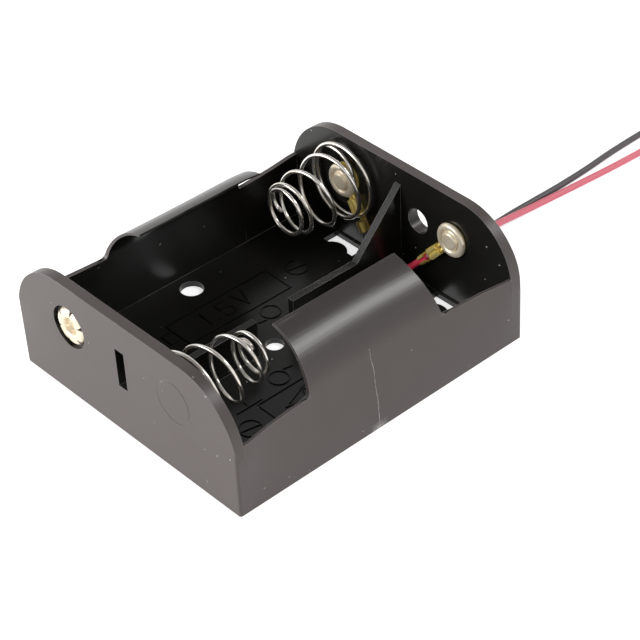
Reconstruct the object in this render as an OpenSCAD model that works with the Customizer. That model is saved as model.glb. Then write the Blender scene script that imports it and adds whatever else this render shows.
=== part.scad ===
// Two-bay holder for a pair of R14 (C) cells: one moulded tray with a sprung
// clip on each side wall, riveted contacts, coil springs and two wire leads.
// X is the width, Y the length, Z is up. The leads leave at the +Y end.

/* [Tray] */
// Outside width over the side walls, at the floor
body_w = 57; // [55:0.5:66]
// Outside length over the end plates
body_l = 65.6; // [63:0.2:76]
// Height of the end plates
plate_h = 24.1; // [22:0.1:28]
// Thickness of the end plates
plate_t = 2; // [1.8:0.1:2.6]
// Thickness of the floor
floor_t = 1.1; // [0.8:0.1:2]
// Thickness of the side walls at the floor
wall_t = 1.7; // [1.2:0.1:2.2]
// Height of the low part of the side walls
low_h = 14; // [12:0.2:16]
// How far a side wall leans inwards over its low height
wall_lean = 1.2; // [0:0.1:1.5]
// Thickness of a side wall at the top edge of its low runs
wall_top_t = 0.8; // [0.6:0.1:1.5]
// Plan radius of the outside corners at the lead end
corner_r = 1.2; // [0.5:0.1:3]
// Plan radius of the outside corners at the link end
corner_near_r = 0.5; // [0.3:0.1:2]

/* [End plates] */
// How far a plate's shoulder reaches in, sideways
shoulder_x = 12.5; // [8:0.5:14]
// How far a plate's shoulder reaches down
shoulder_z = 13.2; // [9.6:0.2:16]
// Width of the upright slot that lets the link pass the rib
link_slot_w = 2.3; // [1.8:0.1:3]
// Height of the upright slot
link_slot_h = 7.9; // [5:0.1:9]
// Sideways place of the slot's middle
link_slot_x = -0.1; // [-0.4:0.1:0.4]
// Bore of the round hole in the lead-end plate
plate_hole_d = 4.9; // [3:0.1:6]
// Sideways place of that hole
plate_hole_x = 5.1; // [4.5:0.1:6]
// Height of that hole's centre
plate_hole_z = 14.9; // [10:0.1:17]

/* [Clips] */
// Length of a clip along the wall, at its root
clip_root = 30; // [24:0.5:36]
// Length of a clip along its tip
clip_tip = 26.6; // [20:0.5:30]
// Outside radius of the clip's curl
clip_r = 9.7; // [9:0.1:12]
// Angle that the curl turns through
clip_turn = 88; // [60:1:90]
// Thickness of a clip at its root
clip_t = 1.4; // [1:0.1:2]
// Thickness of a clip at its tip
clip_tip_t = 0.7; // [0.5:0.1:1]
// Fillet between a clip and the low wall
clip_fillet = 1.8; // [0.5:0.1:3]

/* [Centre rib] */
// Thickness of the rib between the bays
rib_t = 1.4; // [1:0.1:1.6]
// Height of the rib above the table
rib_h = 8.8; // [6:0.2:11]
// Gap in the rib round the middle screw hole
rib_gap = 8.4; // [6:0.2:12]
// Height of the gusset where it meets an end plate
gusset_h = 20.6; // [19:0.2:21.6]
// Length of the gusset along the rib
gusset_l = 11; // [6:0.5:14]

/* [Floor] */
// Bore of the middle screw hole
screw_mid_d = 3.4; // [2.5:0.1:4]
// Bore of the side screw holes
screw_side_d = 4.4; // [3:0.1:5]
// Distance from the middle to a side screw hole
screw_side_x = 22.8; // [20:0.1:23]
// Width of a floor window beside an end plate
window_w = 7.8; // [6:0.1:9]
// Length of a floor window along the bay
window_l = 2.6; // [2:0.1:3.2]
// Gap between a floor window and its end plate
window_gap = 0.4; // [0.3:0.1:1.5]
// Diameter of the round tongue that reaches into a window
tongue_d = 6.4; // [4:0.1:7]
// Open slit left beyond the tongue
tongue_gap = 1.3; // [0.8:0.1:2]

/* [Contacts] */
// Distance of the plus contacts from the tray's side
plus_in = 14.6; // [14.2:0.1:15.2]
// Distance of the minus contacts from the tray's side
minus_in = 15.1; // [14.6:0.1:15.4]
// Height of all contacts above the table
contact_z = 15.4; // [14.8:0.1:15.8]
// Diameter of a rivet's head
rivet_head_d = 8.3; // [7:0.1:9]
// Diameter of the raised disc on the head
rivet_disc_d = 4.7; // [3.5:0.1:5]
// Outside diameter of the hollow shank
rivet_shank_d = 4.4; // [3:0.1:4.8]
// Sheet thickness of a rivet
rivet_t = 0.35; // [0.25:0.05:0.45]
// Diameter over the flared petals
petal_d = 9.6; // [8:0.1:10]
// Number of petals
petals = 6; // [5:1:8]
// Diameter of the recess round the petals
recess_d = 11; // [10.4:0.1:12]
// Depth of that recess
recess_depth = 1; // [0.8:0.1:1.1]
// Clearance round a shank in its hole
shank_clear = 0.15; // [0.05:0.05:0.3]

/* [Springs] */
// Diameter of the spring wire
wire_d = 0.95; // [0.7:0.05:1.1]
// Free length of a spring from the plate
spring_l = 15.6; // [12:0.1:18]
// Coil radius at the plate
coil_base_r = 7.7; // [7:0.1:7.8]
// Coil radius at the free end
coil_end_r = 3.6; // [3:0.1:5]
// Number of turns
coil_turns = 5; // [4:1:6]

/* [Lugs] */
// Sheet thickness of a lug
lug_t = 0.3; // [0.2:0.05:0.4]
// Diameter of a lug's ring
lug_ring_d = 7.4; // [6:0.1:8]
// Distance from the rivet to the conductor crimp
crimp_start = 4.3; // [4.3:0.1:4.5]
// Length of the conductor crimp
crimp_l = 2.7; // [2:0.1:2.8]
// Gap between the two crimps
crimp_gap = 1.4; // [1.3:0.1:2]
// Length of the insulation crimp
grip_l = 2; // [1.5:0.1:3]
// Angle of the red lead's lug below the level
lug_red_angle = 48; // [40:1:52]
// Angle of the black lead's lug below the level
lug_black_angle = 59; // [55:1:66]

/* [Leads] */
// Diameter over the insulation
lead_d = 1.3; // [1:0.1:1.5]
// Diameter of the stranded conductor
core_d = 0.7; // [0.4:0.05:0.9]
// Bore of the two lead holes in the end plate
lead_hole_d = 2.2; // [1.9:0.1:2.3]
// Distance of a lead hole from the middle
lead_hole_x = 1.9; // [1.8:0.1:2.2]
// Height of the lead holes
lead_hole_z = 2.3; // [2.3:0.1:2.6]
// Length of the tinned ends
tinned_l = 5; // [3:0.5:7]

/* [Hidden] */
fine = 64;
eps = 0.02;

half_w = body_w / 2;
half_l = body_l / 2;
face_y = half_l - plate_t;              // inner face of an end plate
plus_x = half_w - plus_in;
minus_x = half_w - minus_in;
lean_a = atan(wall_lean / low_h);
root_x = half_w - wall_lean;            // outer face at the clip's root
arc_c = [root_x - clip_r * cos(lean_a), low_h - clip_r * sin(lean_a)];
web_t = plate_t - recess_depth;
tray_top = plate_h + 20;

// ---- tray --------------------------------------------------------------

// Quarter ellipse of a shoulder, from the upright edge up to the flat top
function shoulder(side) = [for (i = [0:16]) let (a = i * 90 / 16)
    [side * (half_w - shoulder_x + shoulder_x * cos(a)), plate_h - shoulder_z + shoulder_z * sin(a)]];
function turned(p) = [for (i = [len(p) - 1:-1:0]) p[i]];

module end_plate() rotate([90, 0, 0]) linear_extrude(height = plate_t, center = true)
    polygon(concat([[-half_w, 0], [half_w, 0]], shoulder(1), turned(shoulder(-1))));

// Section of the right wall's low run, looking along the bay
module low_section() polygon([[half_w, 0], [root_x, low_h],
    [root_x - wall_top_t, low_h], [half_w - wall_t, 0]]);

// Section through the clip; the curl thins towards its tip
module clip_section() {
    polygon([[half_w, 0], [root_x, low_h],
             [root_x - clip_t, low_h], [half_w - wall_t, 0]]);
    translate(arc_c) intersection() {
        difference() {
            circle(r = clip_r, $fn = 96);
            translate((clip_t - clip_tip_t) * [cos(clip_turn + lean_a), sin(clip_turn + lean_a)])
                circle(r = clip_r - clip_t, $fn = 96);
        }
        polygon([[0, 0], [2 * clip_r * cos(lean_a), 2 * clip_r * sin(lean_a)],
                 [2 * clip_r * cos(45 + lean_a), 2 * clip_r * sin(45 + lean_a)],
                 [2 * clip_r * cos(clip_turn + lean_a), 2 * clip_r * sin(clip_turn + lean_a)]]);
    }
}

// Side view of a clip: root, fillets and the narrowing curl
module clip_outline() {
    difference() {
        union() {
            translate([-clip_root / 2 - clip_fillet, 0]) square([clip_root + 2 * clip_fillet, low_h]);
            polygon([[-clip_root / 2 - clip_fillet, low_h - eps], [clip_root / 2 + clip_fillet, low_h - eps],
                     [clip_root / 2 + clip_fillet, low_h], [clip_root / 2, low_h + clip_fillet],
                     [clip_tip / 2, tray_top / 2 + low_h / 2 - 4], [clip_tip / 2, tray_top],
                     [-clip_tip / 2, tray_top], [-clip_tip / 2, tray_top / 2 + low_h / 2 - 4],
                     [-clip_root / 2, low_h + clip_fillet], [-clip_root / 2 - clip_fillet, low_h]]);
        }
        for (s = [-1, 1])
            translate([s * (clip_root / 2 + clip_fillet), low_h + clip_fillet])
                circle(r = clip_fillet, $fn = 48);
    }
}

module right_wall() {
    rotate([90, 0, 0]) linear_extrude(height = body_l - plate_t, center = true) low_section();
    intersection() {
        rotate([90, 0, 0]) linear_extrude(height = body_l - plate_t, center = true) clip_section();
        rotate([90, 0, 90]) linear_extrude(height = body_w) clip_outline();
    }
}

// What rounding takes off an upright corner of the tray
module corner_cut(sx, sy, r) translate([sx * (half_w - r), sy * (half_l - r), -1])
    linear_extrude(height = tray_top) difference() {
        translate([sx > 0 ? 0 : -2 * r, sy > 0 ? 0 : -2 * r]) square(2 * r);
        circle(r = r, $fn = 48);
    }

module rib_side() for (s = [-1, 1])
    polygon([[s * rib_gap / 2, 0], [s * (face_y + plate_t / 2), 0],
             [s * (face_y + plate_t / 2), gusset_h], [s * face_y, gusset_h],
             [s * (face_y - gusset_l), rib_h], [s * rib_gap / 2, rib_h]]);

// Bore along Y, from one depth to another
module bore_y(x, z, d, y0, y1)
    translate([x, y0, z]) rotate([-90, 0, 0]) cylinder(d = d, h = y1 - y0, $fn = fine);

// Shank bore and outer recess of a riveted contact; s is the end
module rivet_cut(x, s) {
    hole = rivet_shank_d + 2 * shank_clear;
    if (s > 0) {
        bore_y(x, contact_z, hole, face_y - 1, half_l + 1);
        bore_y(x, contact_z, recess_d, half_l - recess_depth, half_l + 1);
    } else {
        bore_y(x, contact_z, hole, -half_l - 1, -face_y + 1);
        bore_y(x, contact_z, recess_d, -half_l - 1, -half_l + recess_depth);
    }
}

// Window in the floor beside an end plate, with the round tongue left in it
module window(sx, sy) translate([0, 0, -1]) linear_extrude(height = floor_t + 2) difference() {
    translate([sx * minus_x - window_w / 2, sy > 0 ? face_y - window_gap - window_l : -face_y + window_gap])
        square([window_w, window_l]);
    translate([sx * minus_x, sy * (face_y - window_gap - tongue_d / 2 - tongue_gap)])
        circle(d = tongue_d, $fn = 48);
}

module housing() color([0.16, 0.15, 0.15]) difference() {
    union() {
        translate([-half_w, -half_l, 0]) cube([body_w, body_l, floor_t]);
        for (sy = [-1, 1]) translate([0, sy * (half_l - plate_t / 2), 0]) end_plate();
        right_wall();
        mirror([1, 0, 0]) right_wall();
        translate([-rib_t / 2, 0, 0]) rotate([90, 0, 90])
            linear_extrude(height = rib_t) rib_side();
    }
    for (sx = [-1, 1]) {
        corner_cut(sx, 1, corner_r);
        corner_cut(sx, -1, corner_near_r);
    }
    rivet_cut(-plus_x, -1);
    rivet_cut(plus_x, 1);
    rivet_cut(-minus_x, 1);
    // faint ring of the unused rivet place
    difference() {
        bore_y(minus_x, contact_z, recess_d, -half_l - 1, -half_l + 0.12);
        bore_y(minus_x, contact_z, recess_d - 0.5, -half_l - 2, -half_l + 1);
    }
    // slot for the link, cut on through the gusset
    translate([link_slot_x - link_slot_w / 2, -half_l - 1, contact_z - link_slot_h / 2 - 1.2])
        cube([link_slot_w, plate_t + 1 + 2 * wire_d, link_slot_h]);
    bore_y(plate_hole_x, plate_hole_z, plate_hole_d, face_y - 1, half_l + 1);
    for (s = [-1, 1]) {
        bore_y(s * lead_hole_x, lead_hole_z, lead_hole_d, face_y - 1, half_l + 1);
        translate([s * screw_side_x, 0, -1]) cylinder(d = screw_side_d, h = floor_t + 2, $fn = fine);
        for (sy = [-1, 1]) window(s, sy);
    }
    translate([0, 0, -1]) cylinder(d = screw_mid_d, h = floor_t + 2, $fn = fine);
}

// ---- rivets --------------------------------------------------------------
// Local frame: z = 0 on the inner face of the plate, +z into the bay.

// A drawn rivet: ringed head with a raised disc, hollow shank, flared petals
module rivet(seat) {
    hr = rivet_head_d / 2; dr = rivet_disc_d / 2; sr = rivet_shank_d / 2; t = rivet_t;
    pr = petal_d / 2;
    bump = 0.62;
    difference() {
        union() {
            rotate_extrude($fn = fine) {
                // ringed flange
                translate([sr - t, seat]) square([hr - sr + t - 0.35, t]);
                translate([hr - 0.62, seat]) intersection() {
                    translate([0, 0]) circle(r = bump, $fn = 32);
                    translate([-1, 0]) square([2, 1]);
                }
                // raised disc with a rounded edge
                translate([0, seat + 0.9 - t]) square([dr - 0.3, t]);
                translate([dr - 0.3 - t, seat]) square([t + 0.3, 0.6]);
                translate([dr - 0.3 - t, seat + 0.5]) square([t, 0.4]);
                translate([dr - 0.3, seat + 0.6]) circle(r = 0.3, $fn = 24);
                // hollow shank
                translate([sr - t, -web_t - 0.05]) square([t, web_t + seat + t]);
                // rolled petals
                translate([(sr - t + pr) / 2, -web_t]) intersection() {
                    difference() {
                        scale([1, 0.55]) circle(r = (pr - sr + t) / 2, $fn = 48);
                        scale([1, 0.45]) circle(r = (pr - sr + t) / 2 - t, $fn = 48);
                    }
                    translate([-5, -5]) square([10, 5]);
                }
            }
        }
        for (i = [0:petals - 1]) rotate(i * 360 / petals + 12)
            translate([0, 0, -web_t - 3]) linear_extrude(height = 3 - eps)
                polygon([[pr * 0.70, 0], [pr * 1.1, pr * 0.20], [pr * 1.1, -pr * 0.20]]);
    }
}

module at_plate(x, s) translate([x, s * face_y, contact_z]) rotate([s > 0 ? 90 : -90, 0, 0]) children();

module rivet_near_left() color([0.86, 0.82, 0.74]) at_plate(-plus_x, -1) rivet(wire_d);
module rivet_far_left() color([0.86, 0.82, 0.74]) at_plate(-minus_x, 1) rivet(lug_t + wire_d);
module rivet_far_right() color([0.86, 0.82, 0.74]) at_plate(plus_x, 1) rivet(lug_t);

// ---- swept wire ----------------------------------------------------------

function unit(v) = v / norm(v);
function tangent(p, i) = unit(p[min(i + 1, len(p) - 1)] - p[max(i - 1, 0)]);
// Ring of points round the path at i; up is a direction the path never takes
function ring(p, i, r, up, n) = let (t = tangent(p, i), a = unit(cross(t, up)), b = cross(t, a))
    [for (k = [0:n - 1]) p[i] + r * (cos(360 * k / n) * a + sin(360 * k / n) * b)];
module sweep(p, r, up, n = 8) {
    m = len(p);
    polyhedron(
        points = [for (i = [0:m - 1]) each ring(p, i, r, up, n)],
        faces = concat(
            [[for (k = [0:n - 1]) k]],
            [[for (k = [n - 1:-1:0]) (m - 1) * n + k]],
            [for (i = [0:m - 2], k = [0:n - 1]) [i * n + k, (i + 1) * n + k, i * n + (k + 1) % n]],
            [for (i = [0:m - 2], k = [0:n - 1]) [(i + 1) * n + k, (i + 1) * n + (k + 1) % n, i * n + (k + 1) % n]]));
}

// ---- springs -------------------------------------------------------------

// Height of the wire above the plate after t turns: closed, open, closed
function coil_z(t) = let (u = t / coil_turns)
    wire_d / 2 + (spring_l - wire_d) * (u - sin(360 * u) / 360 * 57.2958);
function coil_r(t) = coil_end_r + (coil_base_r - coil_end_r) * pow(min(1, (coil_turns - t) / (coil_turns - 1)), 1.1);
coil_steps = 20;
// Wire from the plate to the free end, right-handed, with the end bent across
function coil_path(a0) = concat(
    [for (i = [0:coil_turns * coil_steps]) let (t = i / coil_steps, a = a0 + 360 * t)
        [coil_r(t) * cos(a), coil_r(t) * sin(a), coil_z(t)]],
    [for (i = [1:4]) let (a = a0 + i * 16, r = coil_end_r * (1 - i * 0.19))
        [r * cos(a), r * sin(a), spring_l - wire_d / 2]]);
// Leg from the shank out to the first turn
function leg_path(a0, r0) = [for (i = [0:9]) let (a = a0 - 150 + i * 15,
    r = i < 3 ? r0 : r0 + (coil_base_r - r0) * pow((i - 3) / 7, 1.3))
    [r * cos(a), r * sin(a), wire_d / 2]];

shank_r = rivet_shank_d / 2 + wire_d / 2 + 0.1;

far_start = 137;
module spring_far() color([0.80, 0.78, 0.74]) at_plate(-minus_x, 1) translate([0, 0, lug_t])
    sweep(concat(leg_path(far_start, shank_r), coil_path(far_start)), wire_d / 2, [0, 0, 1]);

// The near spring's wire starts as an open loop round the other contact's
// shank, crosses the plate as the series link, and bends up into the coil.
near_start = -162;
link_drop = 1;                          // how far the link falls on its way
bend_r = 1.1;
function link_path() = let (dx = -(plus_x + minus_x), end = [coil_base_r * cos(near_start), coil_base_r * sin(near_start)],
    low = -shank_r + link_drop)
    concat([for (i = [0:14]) let (a = -340 + i * 250 / 14)
               [dx + shank_r * cos(a), shank_r * sin(a), wire_d / 2]],
           [for (i = [1:7]) let (u = i / 8) [dx + u * (end[0] - bend_r - dx), -shank_r + u * link_drop, wire_d / 2]],
           [[end[0] - 0.75, low - 0.02, wire_d / 2], [end[0] - 0.3, low - 0.2, wire_d / 2]]);
module spring_near() color([0.80, 0.78, 0.74]) at_plate(minus_x, -1)
    sweep(concat(link_path(), coil_path(near_start)), wire_d / 2, [0, 0, 1]);

// ---- lugs ---------------------------------------------------------------
// Local frame: z = 0 on the plate, +z into the bay, the barrel along +x.

barrel_r = lead_d / 2 + lug_t;
crimp_end = crimp_start + crimp_l;
grip_start = crimp_end + crimp_gap;
grip_end = grip_start + grip_l;
core_z = lug_t + core_d / 2 + 0.05;     // wire axes over the plate
lead_z = lug_t + lead_d / 2;

module lug() {
    // ring under the rivet's head
    difference() {
        cylinder(d = lug_ring_d, h = lug_t, $fn = fine);
        translate([0, 0, -1]) cylinder(d = rivet_shank_d + 2 * shank_clear, h = lug_t + 2, $fn = fine);
    }
    // neck and the strip below both crimps
    translate([lug_ring_d / 2 - 0.4, -0.8, 0]) cube([grip_end - lug_ring_d / 2 + 0.4, 1.6, lug_t]);
    // conductor crimp: two wings rolled down into the strands
    translate([crimp_start, 0, 0]) rotate([90, 0, 90]) linear_extrude(height = crimp_l) for (s = [-1, 1])
        translate([s * 0.55, core_z + 0.25]) difference() {
            union() {
                circle(r = 0.62, $fn = 32);
                translate([s > 0 ? 0 : -0.62, -core_z - 0.25]) square([0.62, core_z + 0.25]);
            }
            translate([0, -0.15]) circle(r = 0.62 - lug_t, $fn = 32);
            translate([-s * 0.9 - 0.6, -1.6]) square([1.2, 1.5]);
        }
    // insulation crimp: an open clip round the lead
    translate([grip_start, 0, 0]) rotate([90, 0, 90]) linear_extrude(height = grip_l)
        translate([0, lead_z]) difference() {
            circle(r = barrel_r, $fn = 48);
            circle(r = lead_d / 2, $fn = 48);
            translate([-0.35, 0]) square([0.7, 3]);
        }
}

module at_red() at_plate(plus_x, 1) rotate(180 + lug_red_angle) children();
module at_black() at_plate(-minus_x, 1) rotate(-lug_black_angle) children();
module lug_red() color([0.78, 0.60, 0.22]) at_red() lug();
module lug_black() color([0.78, 0.60, 0.22]) at_black() lug();

// Bare strands held in the conductor crimp; end is how far out they reach
module core(end) translate([crimp_start - 0.1, 0, core_z]) rotate([0, 90, 0])
    cylinder(d = core_d, h = end - crimp_start + 0.1, $fn = 24);
module core_red() color([0.75, 0.45, 0.25]) at_red() core(grip_start + 0.1);
// the coil's first turn crosses the black lug just past its crimp
module core_black() color([0.75, 0.45, 0.25]) at_black() core(crimp_end + 0.1);

// ---- leads ---------------------------------------------------------------
// Routes on from each lug's grip: down to a lead hole, out, and along the table.
// The first two points follow the lug; the rest are chosen.
table = lead_d / 2;
function on_lug(x, s, a, d) = [x + s * d * cos(a), face_y - lead_z, contact_z - d * sin(a)];
red_free = [
    [3.5, 28.9, 4], [2.5, 29.6, 2.8], [1.9, 30.9, 2.3], [1.9, 33, 2.3], [2, 37, 2.1],
    [2.5, 41, 1.9], [2.8, 46, 1.8], [3, 54, 1.5], [3.2, 61, 1], [3.5, 68, table],
    [4.3, 77, table], [5, 86, table], [5.4, 94, table], [5.6, 102, table]];
black_free = [
    [-6.5, 29.3, 4.3], [-4.4, 29.3, 3.1], [-2.6, 29.9, 2.4], [-1.9, 31, 2.3], [-1.9, 33, 2.3],
    [-1.3, 36.5, 1.5], [0, 40, 0.8], [1.3, 43.5, table], [1.9, 48, table], [1.9, 54, table],
    [1.8, 60, table], [1.9, 66, table], [2, 73, table], [1.8, 81, table], [1.3, 89, table],
    [1.1, 97, table], [1.1, 107, table], [1.1, 119, table]];
// Spiral that each lead's spare length lies in: outer radius, turns, middle
spiral_r = 7.9;
spiral_pitch = lead_d + 0.05;
red_mid = [13.5, 102];
black_mid = [9, 119];
red_turns = 1.9;
black_turns = 1.5;
spiral_out = spiral_r + lead_d / 2;
function spiral_in(n) = spiral_r - spiral_pitch * n - lead_d / 2;

// Smooth curve through the points (Catmull-Rom), k steps to a span
function curve(p, k) = concat([for (i = [0:len(p) - 2], j = [0:k - 1]) let (u = j / k,
    a = p[max(i - 1, 0)], b = p[i], c = p[i + 1], d = p[min(i + 2, len(p) - 1)])
    0.5 * ((2 * b) + (c - a) * u + (2 * a - 5 * b + 4 * c - d) * u * u
           + (3 * b - a - 3 * c + d) * u * u * u)], [p[len(p) - 1]]);

grip_mid = grip_start + 0.2;
red_route = concat([on_lug(plus_x, -1, lug_red_angle, grip_mid),
                    on_lug(plus_x, -1, lug_red_angle, grip_end + 0.4)], red_free);
black_route = concat([on_lug(-minus_x, 1, lug_black_angle, grip_mid),
                      on_lug(-minus_x, 1, lug_black_angle, grip_end + 0.4)], black_free);

module lead_red() color([0.80, 0.10, 0.16]) sweep(curve(red_route, 2), lead_d / 2, [0, 0, 1]);
module lead_black() color([0.05, 0.05, 0.05]) sweep(curve(black_route, 2), lead_d / 2, [0, 0, 1]);

// Outer shape of a wound length
module coil(mid, n) translate([mid[0], mid[1], 0]) rotate_extrude($fn = fine)
    translate([spiral_in(n), 0]) square([spiral_out - spiral_in(n), lead_d]);
module coil_red() color([0.80, 0.10, 0.16]) coil(red_mid, red_turns);
module coil_black() color([0.05, 0.05, 0.05]) coil(black_mid, black_turns);

// Tinned end, curving on inside the innermost turn
module tinned(mid, n) let (r = spiral_in(n) - core_d / 2)
    translate([mid[0], mid[1], table]) rotate(180 - 360 * n - tinned_l / r * 57.2958)
        rotate_extrude(angle = tinned_l / r * 57.2958, $fn = fine) translate([r, 0]) circle(d = core_d, $fn = 24);
module tinned_red() color([0.82, 0.82, 0.84]) tinned(red_mid, red_turns);
module tinned_black() color([0.82, 0.82, 0.84]) tinned(black_mid, black_turns);

housing();
rivet_near_left();
rivet_far_left();
rivet_far_right();
spring_near();
spring_far();
lug_red();
lug_black();
core_red();
core_black();
lead_red();
lead_black();
coil_red();
coil_black();
tinned_red();
tinned_black();
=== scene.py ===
import math
import bpy
import bmesh
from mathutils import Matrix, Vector
import numpy as np


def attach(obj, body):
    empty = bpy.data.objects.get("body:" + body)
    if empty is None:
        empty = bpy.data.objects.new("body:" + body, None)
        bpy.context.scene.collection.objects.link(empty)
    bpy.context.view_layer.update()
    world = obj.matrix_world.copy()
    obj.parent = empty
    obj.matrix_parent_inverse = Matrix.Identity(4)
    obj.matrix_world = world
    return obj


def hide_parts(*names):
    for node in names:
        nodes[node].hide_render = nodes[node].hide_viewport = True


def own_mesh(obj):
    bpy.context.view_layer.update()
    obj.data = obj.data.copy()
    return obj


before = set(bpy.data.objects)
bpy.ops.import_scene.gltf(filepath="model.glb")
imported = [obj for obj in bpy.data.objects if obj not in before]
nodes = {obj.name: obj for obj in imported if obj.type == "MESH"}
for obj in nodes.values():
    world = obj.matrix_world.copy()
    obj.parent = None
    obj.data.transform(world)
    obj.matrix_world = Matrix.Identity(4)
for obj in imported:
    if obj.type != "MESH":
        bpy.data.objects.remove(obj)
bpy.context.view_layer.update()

# Battery holder: a moulded tray, riveted contacts, two springs and two leads.
# Lengths are written in millimetres and made metres where a mesh is built.
mm = 0.001
white = (1, 1, 1, 1)
print("frame loaded:", len(nodes), "nodes")

# Camera
cameraSet = {
    "place": (0.214464, -0.175799, 0.223830),
    "turn": (47.3283, -0.5113, 44.5640),      # degrees
    "lens": 111.872, "sensor": 36, "shift": (-0.20553, 0.24295), "clip": (0.01, 10),
}


def makeCamera(s):
    # A shifted lens, placed and turned as given.
    data = bpy.data.cameras.new("camera")
    data.sensor_width, data.lens = s["sensor"], s["lens"]
    data.shift_x, data.shift_y = s["shift"]
    data.clip_start, data.clip_end = s["clip"]
    cam = bpy.data.objects.new("camera", data)
    bpy.context.scene.collection.objects.link(cam)
    cam.location = s["place"]
    cam.rotation_euler = [math.radians(a) for a in s["turn"]]
    bpy.context.scene.camera = cam


makeCamera(cameraSet)


# Shader helpers
def fill(tree, kind, links=None, **values):
    # A node with its settings, its input values (in0, in1 and so on) and its input links.
    node = tree.nodes.new("ShaderNode" + kind)
    for key, value in values.items():
        if key[:2] == "in":
            node.inputs[int(key[2:])].default_value = value
        else:
            setattr(node, key, value)
    for where, source in (links or {}).items():
        tree.links.new(source, node.inputs[where])
    return node


def calc(t, operation, *terms, **settings):
    # One step of arithmetic; each term is a socket or a number.
    node = fill(t, "Math", operation=operation, **settings)
    for i, term in enumerate(terms):
        if isinstance(term, (int, float)):
            node.inputs[i].default_value = term
        else:
            t.links.new(term, node.inputs[i])
    return node.outputs[0]


def span(t, value, low=0.0, high=1.0, first=0.0, last=1.0):
    # Straight line from first, where the value is low, to last, where it is high, held beyond both.
    return fill(t, "MapRange", {0: value}, in1=low, in2=high, in3=first, in4=last).outputs[0]


# Light
lightSet = {
    "horizon": 1.0, "zenith": 0.28, "from": 0.42, "to": 0.72,     # sky: bright low down, dim above
    "lamps": {                                 # place, target, size, watts
        "keyFront": ((-0.42, -0.75, 0.22), (0, 0, 0.01), 0.5, 6.6),
        "backRight": ((0.42, 0.53, 0.80), (0, 0, 0.02), 0.24, 3.0),
    },
}


def makeLight(s):
    # The sky's strength falls with height, but the camera sees it plain white; each lamp faces its target.
    world = bpy.data.worlds.new("studio")
    bpy.context.scene.world = world
    world.use_nodes = True
    t = world.node_tree
    t.nodes.clear()
    height = fill(t, "SeparateXYZ", {0: fill(t, "TexCoord").outputs["Generated"]}).outputs[2]
    level = span(t, height, s["from"], s["to"], s["horizon"], s["zenith"])
    sky = fill(t, "Background", {1: level}, in0=white)
    seen = fill(t, "Background", in0=white)
    rays = fill(t, "LightPath")
    mix = fill(t, "MixShader", {0: rays.outputs["Is Camera Ray"], 1: sky.outputs[0], 2: seen.outputs[0]})
    fill(t, "OutputWorld", {0: mix.outputs[0]})
    for name, (place, target, size, watts) in s["lamps"].items():
        data = bpy.data.lights.new(name, "AREA")
        data.size, data.energy = size, watts
        lamp = bpy.data.objects.new(name, data)
        bpy.context.scene.collection.objects.link(lamp)
        lamp.location = place
        away = Vector(place) - Vector(target)
        lamp.rotation_euler = away.to_track_quat("Z", "Y").to_euler()


makeLight(lightSet)
bpy.context.scene.view_settings.view_transform = "Standard"
print("camera and light made")


# Shared effects
def newGroup(name, inputs, outputs):
    # A node group with the named sockets, given as label and sort.
    g = bpy.data.node_groups.new(name, "ShaderNodeTree")
    for kind, items in (("INPUT", inputs), ("OUTPUT", outputs)):
        for label, sort in items:
            g.interface.new_socket(label, in_out=kind, socket_type="NodeSocket" + sort)
    return g, g.nodes.new("NodeGroupInput").outputs, g.nodes.new("NodeGroupOutput").inputs


def makeGrain():
    # Fine uneven skin of a moulded or drawn surface: noise at two scales, as a height and a mask.
    g, given, result = newGroup("surfaceGrain",
                                [("Coordinates", "Vector"), ("Fine scale", "Float"),
                                 ("Broad scale", "Float")],
                                [("Height", "Float"), ("Broad mask", "Float")])
    fine = fill(g, "TexNoise", {0: given[0], 2: given[1]}, in3=2.0)
    broad = fill(g, "TexNoise", {0: given[0], 2: given[2]}, in3=4.0)
    g.links.new(fine.outputs[0], result[0])
    g.links.new(broad.outputs[0], result[1])
    return g


def makeDust():
    # Pale specks: cells of a Voronoi pattern, in wavering coordinates, whose middle is near,
    # kept only where the cell's own random value is high.
    waver = (0.0006, 0.0006, 0.0006)
    g, given, result = newGroup("dustSpecks",
                                [("Coordinates", "Vector"), ("Scale", "Float"), ("Size", "Float"),
                                 ("Rarity", "Float")],
                                [("Mask", "Float")])
    warp = fill(g, "TexNoise", {0: given[0]}, in2=1800.0, in3=2.0)
    bent = fill(g, "VectorMath", {0: warp.outputs[1], 2: given[0]}, operation="MULTIPLY_ADD", in1=waver)
    cell = fill(g, "TexVoronoi", {0: bent.outputs[0], 2: given[1]})
    near = calc(g, "LESS_THAN", cell.outputs[0], given[2])
    chance = fill(g, "SeparateColor", {0: cell.outputs[1]}).outputs[0]
    rare = calc(g, "GREATER_THAN", chance, given[3])
    g.links.new(calc(g, "MULTIPLY", near, rare), result[0])
    return g


def makeScuff():
    # Long thin rubs: noise stretched along one direction and cut to its highest values.
    g, given, result = newGroup("longScuffs",
                                [("Coordinates", "Vector"), ("Stretch", "Vector"), ("Level", "Float")],
                                [("Mask", "Float")])
    drawn = fill(g, "VectorMath", {0: given[0], 1: given[1]}, operation="MULTIPLY")
    lines = fill(g, "TexNoise", {0: drawn.outputs[0]}, in2=1.0, in3=3.0)
    over = fill(g, "MapRange", {0: lines.outputs[0], 1: given[2]}, in2=0.8)
    g.links.new(over.outputs[0], result[0])
    return g


grainGroup, dustGroup, scuffGroup = makeGrain(), makeDust(), makeScuff()


def startTree(name):
    # An empty material, its tree and its own coordinates.
    m = bpy.data.materials.new(name)
    m.use_nodes = True
    m.node_tree.nodes.clear()
    return m, m.node_tree, fill(m.node_tree, "TexCoord").outputs["Object"]


def startMaterial(name):
    # A material with one Principled shader.
    m, t, where = startTree(name)
    shader = fill(t, "BsdfPrincipled")
    fill(t, "OutputMaterial", {0: shader.outputs[0]})
    return m, t, shader, where


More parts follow.
